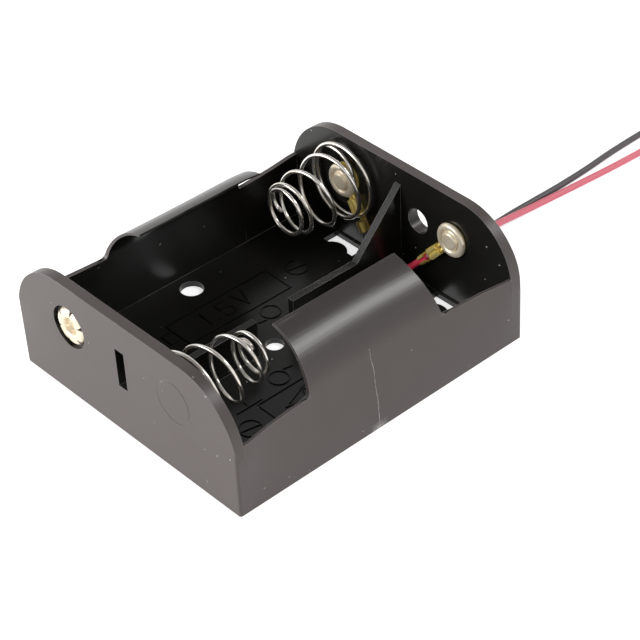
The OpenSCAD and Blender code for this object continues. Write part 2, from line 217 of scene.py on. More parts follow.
def useGroup(t, group, where, values):
    # Outputs of a shared effect at these coordinates, with its other inputs by name.
    node = t.nodes.new("ShaderNodeGroup")
    node.node_tree = group
    t.links.new(where, node.inputs[0])
    for label, value in values.items():
        node.inputs[label].default_value = value
    return node.outputs


def mixColour(t, mask, a, b):
    # Colour a where the mask is 0, colour b where it is 1; either may be a socket.
    node = fill(t, "Mix", {0: mask}, data_type="RGBA")
    for i, c in ((6, a), (7, b)):
        if isinstance(c, tuple):
            node.inputs[i].default_value = (*c, 1)
        else:
            t.links.new(c, node.inputs[i])
    return node.outputs[2]


def mixValue(t, mask, low, high):
    # The low value where the mask is 0, the high one where it is 1.
    return span(t, mask, 0.0, 1.0, low, high)


# Materials. Pairs of colours or of roughness are mixed by the broad grain.
plasticLook = {
    # outside: the plastic's dark grey lifted by painted sheen; inside: near black, painted shade of the inner
    # faces
    "outside": ((0.072, 0.057, 0.053), (0.096, 0.079, 0.074)), "matt": (0.32, 0.42),
    "inside": ((0.0060, 0.0060, 0.0048), (0.011, 0.0105, 0.009)), "polished": (0.20, 0.30),
    "shine": 0.42, "outer": (10 * mm, 14 * mm), "ribSide": 8 * mm, "ribEnd": 30.5 * mm,
    "grain": {"Fine scale": 2600.0, "Broad scale": 90.0},
    "dust": {"Scale": 620.0, "Size": 0.09, "Rarity": 0.86}, "dustColour": (0.45, 0.43, 0.40),
    "scuff": {"Stretch": (1300.0, 70.0, 1300.0), "Level": 0.64},
    "scuffShare": 0.3, "scuffColour": (0.20, 0.19, 0.18),
    # curl colour: painted shade, darkening the curls towards their upward tips
    "curl": {"colour": (0.049, 0.043, 0.041), "height": (15.5 * mm, 21 * mm), "half": 16 * mm, "rough": 0.29},
    "scratch": {"foot": -1.65 * mm, "head": -1.2 * mm, "reach": 14 * mm, "wave": 0.9 * mm, "waveScale": 260.0,
                "wide": 0.10 * mm, "rub": 2.2 * mm, "rubHeight": (0.3 * mm, 1.7 * mm), "side": 24 * mm,
                "top": 15.5 * mm, "broken": (0.35, 0.6, 0.15), "colour": (0.55, 0.53, 0.51)},
    # edge colour: a painted highlight along the edges
    "edge": {"radius": 0.16 * mm, "highlightSpan": (0.97, 0.86, 0.0, 0.75), "uneven": (0.42, 0.58, 0.4, 1.3),
             "colour": (0.30, 0.29, 0.28), "lift": 0.10, "liftHeight": 0.02 * mm},
}


def scratchMask(t, s, where, axes, fine):
    # Distance from a line that leans with height and wavers by noise: a thin core broken by the grain,
    # and a wide rub at its foot, on the right wall alone.
    across, along, height = axes
    wave = fill(t, "TexNoise", {0: where}, in2=s["waveScale"], in3=2.0).outputs[0]
    drift = calc(t, "MULTIPLY_ADD", wave, s["wave"], -s["wave"] / 2)
    line = span(t, height, 0.0, s["reach"], s["foot"], s["head"])
    off = calc(t, "ABSOLUTE", calc(t, "ADD", calc(t, "SUBTRACT", along, line), drift))
    thin = span(t, off, 0.0, s["wide"], 1.0, 0.0)
    wide, atFoot = span(t, off, 0.0, s["rub"], 1.0, 0.0), span(t, height, *s["rubHeight"], 1.0, 0.0)
    rub = calc(t, "MULTIPLY", wide, atFoot)
    mark = calc(t, "MULTIPLY", calc(t, "MAXIMUM", thin, rub), calc(t, "GREATER_THAN", across, s["side"]))
    mark = calc(t, "MULTIPLY", mark, calc(t, "LESS_THAN", height, s["top"]))
    return calc(t, "MULTIPLY", mark, span(t, fine, *s["broken"]))


def makePlastic(s):
    # Outer faces are matt, their dark grey base lifted by painted sheen; inner ones are polished, their near
    # black base painted shade, by how far a face's own plane lies from the middle. Over that come the curls'
    # polish with painted shade towards their tips, a scratch, painted edge highlights and dust.
    m, t, shader, where = startMaterial("blackPlastic")
    fine, broad = useGroup(t, grainGroup, where, s["grain"])
    dust = useGroup(t, dustGroup, where, s["dust"])[0]
    scuff = useGroup(t, scuffGroup, where, s["scuff"])[0]
    axes = fill(t, "SeparateXYZ", {0: where}).outputs
    facing = fill(t, "TexCoord").outputs["Normal"]
    plane = fill(t, "VectorMath", {0: where, 1: facing}, operation="DOT_PRODUCT").outputs["Value"]
    # The centre rib counts as inside all over, its top too: polished, and with the inner faces' painted shade
    far = calc(t, "ABSOLUTE", axes[1])
    clear = calc(t, "GREATER_THAN", calc(t, "ABSOLUTE", axes[0]), s["ribSide"])
    offRib = calc(t, "MAXIMUM", clear, calc(t, "GREATER_THAN", far, s["ribEnd"]))
    outer = calc(t, "MULTIPLY", span(t, plane, *s["outer"]), offRib)
    # Outer faces take the grey lifted by painted sheen, inner faces the near black of painted shade
    body = mixColour(t, outer, mixColour(t, broad, *s["inside"]), mixColour(t, broad, *s["outside"]))
    # The curls are polished, with painted shade darkening them towards their tips, and rubs along them
    curl = s["curl"]
    high = calc(t, "MULTIPLY", span(t, axes[2], *curl["height"]), calc(t, "LESS_THAN", far, curl["half"]))
    high = calc(t, "MULTIPLY", high, outer)
    body = mixColour(t, high, body, curl["colour"])
    rubs = calc(t, "MULTIPLY", calc(t, "MULTIPLY", scuff, high), s["scuffShare"])
    body = mixColour(t, rubs, body, s["scuffColour"])
    scratch = calc(t, "MULTIPLY", scratchMask(t, s["scratch"], where, axes, fine), outer)
    body = mixColour(t, scratch, body, s["scratch"]["colour"])
    # Edges get a painted highlight, pale where the rounded normal leaves the true one, and are lifted a
    # little by its mean
    edge = s["edge"]
    rounded = fill(t, "Bevel", in0=edge["radius"], samples=6).outputs[0]
    true = fill(t, "NewGeometry").outputs["True Normal"]
    agree = fill(t, "VectorMath", {0: rounded, 1: true}, operation="DOT_PRODUCT").outputs["Value"]
    paintedEdgeHighlight = calc(t, "MULTIPLY", span(t, agree, *edge["highlightSpan"]), span(t, broad, *edge["uneven"]), use_clamp=True)
    body = mixColour(t, paintedEdgeHighlight, body, edge["colour"])
    lift = fill(t, "Bump", {"Height": rounded}, in0=edge["lift"], in1=edge["liftHeight"])
    polished, matt = mixValue(t, broad, *s["polished"]), mixValue(t, broad, *s["matt"])
    rough = fill(t, "Mix", {0: outer, 2: polished, 3: matt})
    rough = fill(t, "Mix", {0: high, 2: rough.outputs[0]}, in3=curl["rough"])
    t.links.new(mixColour(t, dust, body, s["dustColour"]), shader.inputs["Base Color"])
    t.links.new(rough.outputs[0], shader.inputs["Roughness"])
    t.links.new(lift.outputs[0], shader.inputs["Normal"])
    shader.inputs["Specular IOR Level"].default_value = s["shine"]
    return m


metalLooks = {
    "stainFrom": 0.45, "stainTo": 0.75, "grain": {"Broad scale": 260.0},
    "nickelPlate": {"colour": (0.93, 0.83, 0.65), "stain": (0.78, 0.67, 0.50),
                    "rough": (0.16, 0.30), "metal": 0.42},
    "springWire": {"colour": (0.90, 0.87, 0.82), "stain": (0.74, 0.67, 0.58),
                   "rough": (0.14, 0.30), "metal": 0.95},
    "stampedBrass": {"colour": (1.0, 0.79, 0.26), "stain": (0.88, 0.62, 0.15),
                     "rough": (0.16, 0.30), "metal": 0.5},
    "tinnedStrands": {"colour": (0.80, 0.77, 0.74), "stain": (0.66, 0.45, 0.30),
                      "rough": (0.20, 0.38), "metal": 0.8},
}


def makeMetal(name, s):
    # Clean metal, stained and duller where the broad grain is high.
    m, t, shader, where = startMaterial(name)
    own = s[name]
    broad = useGroup(t, grainGroup, where, s["grain"])[1]
    stain = span(t, broad, s["stainFrom"], s["stainTo"])
    t.links.new(mixColour(t, stain, own["colour"], own["stain"]), shader.inputs["Base Color"])
    t.links.new(mixValue(t, broad, *own["rough"]), shader.inputs["Roughness"])
    shader.inputs["Metallic"].default_value = own["metal"]
    return m


leadLooks = {
    "pastPlateSpan": (33 * mm, 42 * mm), "grain": {"Broad scale": 150.0},
    "dust": {"Scale": 500.0, "Size": 0.08, "Rarity": 0.93},
    "redInsulation": {"colours": ((0.72, 0.035, 0.075), (0.80, 0.06, 0.11)),
                      "pastPlateTone": (0.86, 0.20, 0.26), "dust": (0.9, 0.5, 0.5), "rough": (0.32, 0.48)},
    "blackInsulation": {"colours": ((0.020, 0.019, 0.021), (0.034, 0.033, 0.035)),
                        "pastPlateTone": (0.105, 0.10, 0.105), "dust": (0.3, 0.3, 0.3), "rough": (0.28, 0.44)},
}


def makeInsulation(name, s):
    # Two tones mixed by the broad grain, lighter past the plate, with specks of dust.
    m, t, shader, where = startMaterial(name)
    own = s[name]
    broad = useGroup(t, grainGroup, where, s["grain"])[1]
    dust = useGroup(t, dustGroup, where, s["dust"])[0]
    along = fill(t, "SeparateXYZ", {0: where}).outputs[1]
    body = mixColour(t, span(t, along, *s["pastPlateSpan"]), mixColour(t, broad, *own["colours"]), own["pastPlateTone"])
    t.links.new(mixColour(t, dust, body, own["dust"]), shader.inputs["Base Color"])
    t.links.new(mixValue(t, broad, *own["rough"]), shader.inputs["Roughness"])
    return m


# The marks' near black colours are painted shade.
glossLook = {"colours": ((0.003, 0.003, 0.0025), (0.007, 0.007, 0.006)), "rough": (0.16, 0.26),
             "grain": {"Broad scale": 200.0}}


def makeGlossyPaintedShade(s):
    # The moulded marks: the same plastic, polished by the tool, its darker base painted shade.
    m, t, shader, where = startMaterial("glossyBlack")
    broad = useGroup(t, grainGroup, where, s["grain"])[1]
    t.links.new(mixColour(t, broad, *s["colours"]), shader.inputs["Base Color"])
    t.links.new(mixValue(t, broad, *s["rough"]), shader.inputs["Roughness"])
    return m


looks = {"blackPlastic": makePlastic(plasticLook), "glossyBlack": makeGlossyPaintedShade(glossLook)}
for name in ("nickelPlate", "springWire", "stampedBrass", "tinnedStrands"):
    looks[name] = makeMetal(name, metalLooks)
for name in ("redInsulation", "blackInsulation"):
    looks[name] = makeInsulation(name, leadLooks)
print("materials made:", len(looks))


# Mesh helpers
def finishPiece(obj, body, slot, look, sharp, replaced=()):
    # Merges points that coincide, turns faces outwards and smooths edges flatter than the sharp angle;
    # then gives the piece its look, replaced nodes and body. The slot is not used.
    b = bmesh.new()
    b.from_mesh(obj.data)
    bmesh.ops.remove_doubles(b, verts=b.verts, dist=1e-7)
    bmesh.ops.recalc_face_normals(b, faces=b.faces)
    for e in b.edges:
        e.smooth = len(e.link_faces) == 2 and e.calc_face_angle(0) < math.radians(sharp)
    for f in b.faces:
        f.smooth = True
    b.to_mesh(obj.data)
    b.free()
    obj.data.materials.clear()
    obj.data.materials.append(looks[look])
    if replaced:
        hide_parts(*replaced)
    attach(obj, body)


def addPiece(name, points, faces, *how):
    # A piece from points in millimetres and faces, finished as told.
    mesh = bpy.data.meshes.new(name)
    mesh.from_pydata((np.asarray(points, float) * mm).tolist(), [], [list(f) for f in faces])
    mesh.validate()
    obj = bpy.data.objects.new(name, mesh)
    bpy.context.scene.collection.objects.link(obj)
    finishPiece(obj, *how)
    return obj


def mergedCopy(name, work=None):
    # A copy of a CAD node's mesh, its points merged, and its points in millimetres.
    mesh = nodes[name].data.copy()
    b = bmesh.new()
    b.from_mesh(mesh)
    bmesh.ops.remove_doubles(b, verts=b.verts, dist=1e-6)
    if work:
        work(b)
    b.to_mesh(mesh)
    b.free()
    p = np.zeros(len(mesh.vertices) * 3)
    mesh.vertices.foreach_get("co", p)
    return mesh, p.reshape(-1, 3) / mm


def unit(v):
    # Each row divided by its length.
    return v / np.linalg.norm(v, axis=-1, keepdims=True)


def join(parts):
    # Several sets of points and faces as one.
    points, faces, start = [], [], 0
    for p, f in parts:
        points.append(np.asarray(p, float))
        faces += [[i + start for i in face] for face in f]
        start += len(p)
    return np.concatenate(points), faces


def gridFaces(rows, cols, closed):
    # Quads between neighbouring rows of a grid; closed joins the last column to the first.
    i, j = np.meshgrid(np.arange(rows - 1), np.arange(cols if closed else cols - 1), indexing="ij")
    a, b = i * cols + j, i * cols + (j + 1) % cols
    return np.stack([a, b, b + cols, a + cols], -1).reshape(-1, 4).tolist()


capTurns = np.radians([90, 55, 25])      # where the rings of a rounded end lie
capTip = 0.02                            # its tip's share of the radius


def tube(path, radius, up, sides, blunt):
    # Circle of the given radius carried along a path, its ends rounded in by three short rings.
    path = np.asarray(path, float)
    go = unit(np.gradient(path, axis=0))
    back = blunt * radius * (1 - np.cos(np.pi / 2 - capTurns))
    inwards = 1 - blunt * (1 - np.sin(np.pi / 2 - capTurns))
    inwards[0] = capTip
    first = path[0] - go[0] * (blunt * radius - back)[:, None]
    last = path[-1] + go[-1] * (blunt * radius - back)[::-1, None]
    full = np.concatenate([first, path, last])
    rings = len(capTurns)
    along = np.concatenate([np.repeat(go[:1], rings, 0), go, np.repeat(go[-1:], rings, 0)])
    size = np.concatenate([radius * inwards, np.full(len(path), radius), radius * inwards[::-1]])
    a = unit(np.cross(along, np.asarray(up, float)))
    b = np.cross(along, a)
    t = np.linspace(0, 2 * np.pi, sides, endpoint=False)[:, None]
    points = full[:, None] + size[:, None, None] * (np.cos(t) * a[:, None] + np.sin(t) * b[:, None])
    faces = gridFaces(len(full), sides, True)
    faces += [list(range(sides)), list(range((len(full) - 1) * sides, len(full) * sides))[::-1]]
    return points.reshape(-1, 3), faces


def smoothCurve(p, steps):
    # Catmull-Rom curve through the points: each span is a cubic of its four nearest points.
    p = np.asarray(p, float)
    q = np.concatenate([p[:1], p, p[-1:]])
    u = (np.arange(steps) / steps)[None, :, None]
    a, b, c, d = (q[i:len(p) - 1 + i, None] for i in range(4))
    square, cube = 2 * a - 5 * b + 4 * c - d, 3 * b - a - 3 * c + d
    spans = 0.5 * (2 * b + (c - a) * u + square * u ** 2 + cube * u ** 3)
    return np.concatenate([spans.reshape(-1, 3), p[-1:]])


def lathe(profile, segments):
    # A closed outline of radius and height turned round the Z axis.
    r, z = np.asarray(profile, float).T
    t = np.linspace(0, 2 * np.pi, segments, endpoint=False)[:, None]
    points = np.stack([r * np.cos(t), r * np.sin(t), z + 0 * t], -1).reshape(-1, 3)
    n = len(r)
    faces = gridFaces(segments, n, True)
    last = (segments - 1) * n
    faces += [[last + j, last + (j + 1) % n, (j + 1) % n, j] for j in range(n)]
    return points, faces


# Inner face of both plates, height of the contacts, and how far each kind lies from the middle
tray = {"face": 30.8, "contactZ": 15.4, "plusX": 13.9, "minusX": 13.4}


def atPlate(points, x, side, turn=0.0):
    # From a plate's own axes, z into the bay, to the tray's: turned about z, then set on the plate.
    p = np.asarray(points, float)
    c, s = math.cos(math.radians(turn)), math.sin(math.radians(turn))
    px, py = p[:, 0] * c - p[:, 1] * s, p[:, 0] * s + p[:, 1] * c
    return np.stack([px + x, side * (tray["face"] - p[:, 2]), tray["contactZ"] + side * py], -1)


# Leads
leads = {
    "diameter": 1.3, "length": 0.165, "coilRadius": 7.9, "coilPitch": 1.35, "coilZ": 0.65,
    "lugDepth": 0.95, "lugRun": (8.6, 10.8), "bareFrom": -0.12, "bareTo": 0.95, "bareRadius": 0.36,
    "red": {
        "angle": 48, "x": tray["plusX"], "side": -1, "middle": (13.5, 102), "turns": 1.9,
        "route": [(3.5, 28.9, 4), (2.5, 29.6, 2.8), (1.9, 30.9, 2.3), (1.9, 33, 2.3), (2, 37, 2.1),
                  (2.5, 41, 1.9), (2.8, 46, 1.8), (3, 54, 1.5), (3.2, 61, 1), (3.5, 68, 0.65),
                  (4.3, 77, 0.65), (5, 86, 0.65), (5.4, 94, 0.65), (5.6, 102, 0.65)]},
    "black": {
        "angle": 59, "x": -tray["minusX"], "side": 1, "middle": (9, 119), "turns": 1.5,
        "route": [(-6.5, 29.3, 4.3), (-4.4, 29.3, 3.1), (-2.6, 29.9, 2.4), (-1.9, 31, 2.3), (-1.9, 33, 2.3),
                  (-1.3, 36.5, 1.5), (0, 40, 0.8), (1.3, 43.5, 0.65), (1.9, 48, 0.65), (1.9, 54, 0.65),
                  (1.8, 60, 0.65), (1.9, 66, 0.65), (2, 73, 0.65), (1.8, 81, 0.65), (1.3, 89, 0.65),
                  (1.1, 97, 0.65), (1.1, 107, 0.65), (1.1, 119, 0.65)]},
}


def spiral(s, own, t):
    # Flat on the table: the radius shrinks by one pitch a turn.
    r = s["coilRadius"] - s["coilPitch"] * t / (2 * np.pi)
    cx, cy = own["middle"]
    return np.stack([cx - r * np.cos(t), cy + r * np.sin(t), 0 * t + s["coilZ"]], -1)


def leadPath(s, own):
    # From the lug's grip through the route's points, then round an inward spiral.
    a = math.radians(own["angle"])
    depth = tray["face"] - s["lugDepth"]
    onLug = [(own["x"] + own["side"] * d * math.cos(a), depth, tray["contactZ"] - d * math.sin(a))
             for d in s["lugRun"]]
    t = np.linspace(0, 2 * np.pi * own["turns"], int(40 * own["turns"]))[1:]
    return np.concatenate([smoothCurve(onLug + own["route"], 8), spiral(s, own, t)])


def makeLead(s, colour):
    # Insulation along the whole path; the bare end carries on round the spiral, a little finer.
    own = s[colour]
    path = leadPath(s, own)
    points, faces = tube(path, s["diameter"] / 2, (0, 0, 1), 16, 0.3)
    lead = addPiece(colour + "Lead", points, faces, "tray", colour + "_insulation", colour + "Insulation", 50,
                    ["lead_" + colour, "coil_" + colour])
    end = spiral(s, own, 2 * np.pi * own["turns"] + np.linspace(s["bareFrom"], s["bareTo"], 14))
    points, faces = tube(end, s["bareRadius"], (0, 0, 1), 12, 0.8)
    bare = addPiece(colour + "BareEnd", points, faces, "tray", "tin", "tinnedStrands", 50,
                    ["tinned_" + colour])
    measured = np.linalg.norm(np.diff(path, axis=0), axis=1).sum()
    print(colour, "lead is", round(float(measured), 1), "mm long")


for colour in ("red", "black"):
    makeLead(leads, colour)

# Springs: a conical coil, closed at both ends, with its wire's own start. Angles are in degrees.
springs = {
    "wire": 0.95, "turns": 5, "length": 15.6, "taper": 1.15, "perTurn": 44, "thick": 0.76,
    "tailTurn": 64.0, "tailIn": 0.76, "shank": 2.775, "linkDrop": 1.0,
    "near": {"start": -162, "seat": 0.0, "x": tray["minusX"], "side": -1, "base": 7.4, "end": 3.4,
             "rise": 0.35},
    "far": {"start": 137, "seat": 0.3, "x": -tray["minusX"], "side": 1, "base": 7.3, "end": 4.2,
            "rise": 0.0},
}


def coilPath(s, own):
    # Radius falls from base to end past the first turn; height is a straight rise less one sine wave,
    # so both ends lie closed. A short tail turns in, and the axis rises a little towards the free end.
    t = np.linspace(0, s["turns"], s["turns"] * s["perTurn"] + 1)
    u = t / s["turns"]
    start, end = own["start"], own["end"]
    r = end + (own["base"] - end) * np.minimum(1, (s["turns"] - t) / (s["turns"] - 1)) ** s["taper"]
    z = s["wire"] / 2 + (s["length"] - s["wire"]) * (u - np.sin(2 * np.pi * u) / (2 * np.pi))
    a = np.radians(start) + 2 * np.pi * t
    coil = np.stack([r * np.cos(a), r * np.sin(a), z], -1)
    k = np.arange(1, 9) / 8
    a, r = np.radians(start + k * s["tailTurn"]), end * (1 - k * s["tailIn"])
    tail = np.stack([r * np.cos(a), r * np.sin(a), 0 * a + s["length"] - s["wire"] / 2], -1)
    path = np.concatenate([coil, tail])
    path[:, 1] += own["side"] * own["rise"] * np.minimum(1, path[:, 2] / s["length"] * 2)
    return path


def linkPath(s, own):
    # An open loop round the other contact's shank, then a straight run that bends up into the coil.
    dx, shank = -(tray["plusX"] + tray["minusX"]), s["shank"]
    a = np.radians(-340 + np.linspace(0, 250, 30))
    loop = np.stack([dx + shank * np.cos(a), shank * np.sin(a), 0 * a], -1)
    endX, low = own["base"] * math.cos(math.radians(own["start"])), s["linkDrop"] - shank
    run = [(dx, -shank, 0), (dx + 6, -shank + 0.25, 0), (dx + 13, low - 0.3, 0), (endX - 1.1, low, 0),
           (endX - 0.35, low - 0.18, 0), (endX + 0.02, low - 0.7, 0)]
    return np.concatenate([loop, smoothCurve(run, 5)[1:-1]]) + (0, 0, s["wire"] / 2)


def legPath(s, own):
    # From the shank the wire opens outwards to the first turn.
    i = np.linspace(0, 9, 28)
    a = np.radians(own["start"] - 150 + i * 15)
    r = s["shank"] + (own["base"] - s["shank"]) * (np.maximum(0, i - 3) / 7) ** 1.3
    return np.stack([r * np.cos(a), r * np.sin(a), 0 * a + s["wire"] / 2], -1)


def makeSpring(s, which, startPath):
    # The wire's start and its coil as one tube, with a mesh of its own.
    own = s[which]
    path = np.concatenate([startPath(s, own), coilPath(s, own)]) + (0, 0, own["seat"])
    points, faces = tube(path, s["thick"] / 2, (0, 0, 1), 14, 0.5)
    spring = addPiece(which + "Spring", atPlate(points, own["x"], own["side"]), faces, which + "_coil",
                      "spring_wire", "springWire", 50, ["spring_" + which])
    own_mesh(spring)


makeSpring(springs, "near", linkPath)
makeSpring(springs, "far", legPath)
print("springs made")

# Riveted contacts: a ringed head with a raised disc, and on the plate's other side a crown of rolled petals
rivets = {
    "head": 3.35, "ring": 0.68, "disc": 1.68, "rise": 0.92, "shank": 1.75, "web": 1.0, "segments": 96,
    "crown": [(1.5, -0.95), (1.55, -1.45), (1.75, -1.78), (2.2, -1.95), (2.7, -1.93), (3.2, -1.78),
              (3.5, -1.48), (3.62, -1.12)],
    "petals": 6, "notchFrom": 0.42, "notch": 11, "slit": 0.02, "sag": 0.10, "inset": 0.06, "thick": 0.3,
    "near_left": {"x": -tray["plusX"], "side": -1, "seat": 0.95, "turn": 12},
    "far_left": {"x": -tray["minusX"], "side": 1, "seat": 1.25, "turn": 40},
    "far_right": {"x": tray["plusX"], "side": 1, "seat": 0.3, "turn": 5},
}


def rivetHead(s, seat):
    # Outline turned round the axis: disc, groove, half round ring, flat underside, hollow shank
    # and its dished bottom.
    a = np.radians(np.linspace(150, 0, 12))
    ring = np.stack([s["head"] - s["ring"] + s["ring"] * np.cos(a), seat + s["ring"] * np.sin(a)], -1)
    d, h, shank = s["disc"], seat + s["rise"], s["shank"]
    top = [(0, h - 0.05), (d - 0.75, h - 0.04), (d - 0.45, h), (d - 0.2, h - 0.03), (d - 0.05, h - 0.14),
           (d, h - 0.3), (d + 0.03, seat + 0.42), (d + 0.16, seat + 0.3), (d + 0.42, seat + 0.27)]
    under = [(s["head"] - 0.08, seat), (shank + 0.1, seat), (shank, seat - 0.1), (shank, -s["web"]),
             (shank - 0.3, -s["web"]), (1.35, -0.75), (1.0, -0.42), (0.55, -0.25), (0, -0.2)]
    return lathe(top + ring.tolist() + under, s["segments"])


def rivetCrown(s):
    # Radius and height follow the crown's curve; past the notch's start each petal's half width
    # shrinks evenly to its tip. Each petal has an outer skin, an inner one and a rim between them.
    curve = smoothCurve([(r, z, 0) for r, z in s["crown"]], 3)[:, :2]
    radius, height = curve[:, :1], curve[:, 1:]
    u, v = np.linspace(0, 1, len(curve))[:, None], np.linspace(-1, 1, 11)[None, :]
    n, m = len(curve), v.shape[1]
    gap = s["notch"] * np.clip((u - s["notchFrom"]) / (1 - s["notchFrom"]), 0, 1) + s["slit"]
    outerZ = height + s["sag"] * u ** 2 * v ** 2
    innerZ = np.minimum(outerZ + s["thick"], s["crown"][0][1])
    skin = gridFaces(n, m, False)
    rim = [(i * m, (i + 1) * m) for i in range(n - 1)]
    rim += [((i + 1) * m + m - 1, i * m + m - 1) for i in range(n - 1)]
    rim += [((n - 1) * m + j, (n - 1) * m + j + 1) for j in range(m - 1)] + [(j + 1, j) for j in range(m - 1)]
    faces = skin + [[i + n * m for i in f[::-1]] for f in skin]
    faces += [[a, b, b + n * m, a + n * m] for a, b in rim]
    petals = []
    for k in range(s["petals"]):
        a = np.radians(360 / s["petals"] * k + v * (180 / s["petals"] - gap))
        outer = np.stack([radius * np.cos(a), radius * np.sin(a), outerZ], -1)
        inner = np.stack([(radius - s["inset"]) * np.cos(a), (radius - s["inset"]) * np.sin(a), innerZ], -1)
        petals.append((np.concatenate([outer.reshape(-1, 3), inner.reshape(-1, 3)]), faces))
    return join(petals)


for which in ("near_left", "far_left", "far_right"):
    own = rivets[which]
    points, faces = join([rivetHead(rivets, own["seat"]), rivetCrown(rivets)])
    addPiece("rivet_" + which + "_shell", atPlate(points, own["x"], own["side"], own["turn"]), faces, "tray",
             "nickel", "nickelPlate", 40, ["rivet_" + which])
print("rivets made")

# The tray: the CAD tray merged and cut across, then bent to the shape that its walls take once moulded.
# Pairs are for the ends and the middle of a wall, or for a value's start and end.
trayShape = {
    "half": 28.5, "end": 32.8, "lean": 1.2, "wallTop": 14.0, "floor": 1.1, "top": 24.1, "facePast": 30.9,
    "cuts": 17, "cutReach": 28, "plateCut": 29.4, "levels": (4.5, 8.0, 10.9, 12.5),
    "tipCuts": (13.2, 13.8, 14.3, 14.7, 14.9),
    "bowRight": (0.55, 2.2), "bowLeft": (0.35, 1.95), "bowHalf": 31, "blend": 5.0, "bend": 1.8,
    "shoulderFrom": 10.9, "plateLean": 0.35, "inner": 23.5, "innerFoot": 26.76,
    "wallRoots": (25.85, 26.85), "rootHeights": (0.5, 1.5), "topThick": 0.85, "topThin": 0.55,
    "curl": (17.635, 13.17, 9.7), "curlFrom": 4.9, "curlTurn": 88.0, "curlThick": 1.4, "thin": 0.2,
    "curlHalf": 16.85, "curlEnd": 17, "curlIn": 12, "footStep": (0.004, 0.025),
    "tipRight": 16.6, "tipLeft": 17.7, "tipZ": 22.75, "newFrom": 11.0, "newTo": 80.0, "newPower": 0.75,
    "rootHalf": 15.0, "fillet": 0.55, "filletWide": 1.8, "filletFrom": 0.6, "filletX": 20,
    "tipRound": (1.0, 2.0, 0.6), "curlLength": 15.0, "droop": 0.7, "droopFrom": 9.0,
    "recess": 5.5, "newRecess": 4.1, "recessBand": (0.4, 0.05), "recessFrom": 31.7,
    "faintFrom": 32.3, "faintHalf": 6, "faint": 0.35,
    "draft": 0.8, "draftFoot": (29.5, 7), "outerSkin": 0.9, "corner": 1.2, "sharpCorner": 0.35,
}


def cutTray(b, s):
    # Flat faces are made whole, then cut by planes across the length and by level planes.
    bmesh.ops.dissolve_limit(b, angle_limit=math.radians(0.5), verts=b.verts, edges=b.edges)
    reach, cut, tips = s["cutReach"], s["plateCut"], s["tipCuts"]
    across = (*np.linspace(-reach, reach, s["cuts"]), -cut, cut, *tips, *(-v for v in tips))
    for place in [(0, v, 0) for v in across] + [(0, 0, v) for v in s["levels"]]:
        every = b.verts[:] + b.edges[:] + b.faces[:]
        normal = (0, 0, 1) if place[2] else (0, 1, 0)
        bmesh.ops.bisect_plane(b, geom=every, plane_co=Vector(place) * mm, plane_no=normal, dist=1e-6)


def newCurl(s, share):
    # Outline of a curl from root to tip, as shares of its width and height: its direction turns quickly
    # at first, then slower.
    k = np.linspace(0, 1, 201)
    a = np.radians(s["newFrom"] + (s["newTo"] - s["newFrom"]) * k ** s["newPower"])
    across, up = np.cumsum(-np.sin(a)), np.cumsum(np.cos(a))
    across, up = (across - across[0]) / (across[-1] - across[0]), (up - up[0]) / (up[-1] - up[0])
    return np.interp(share, k, across), np.interp(share, k, up), np.interp(share, k, a)


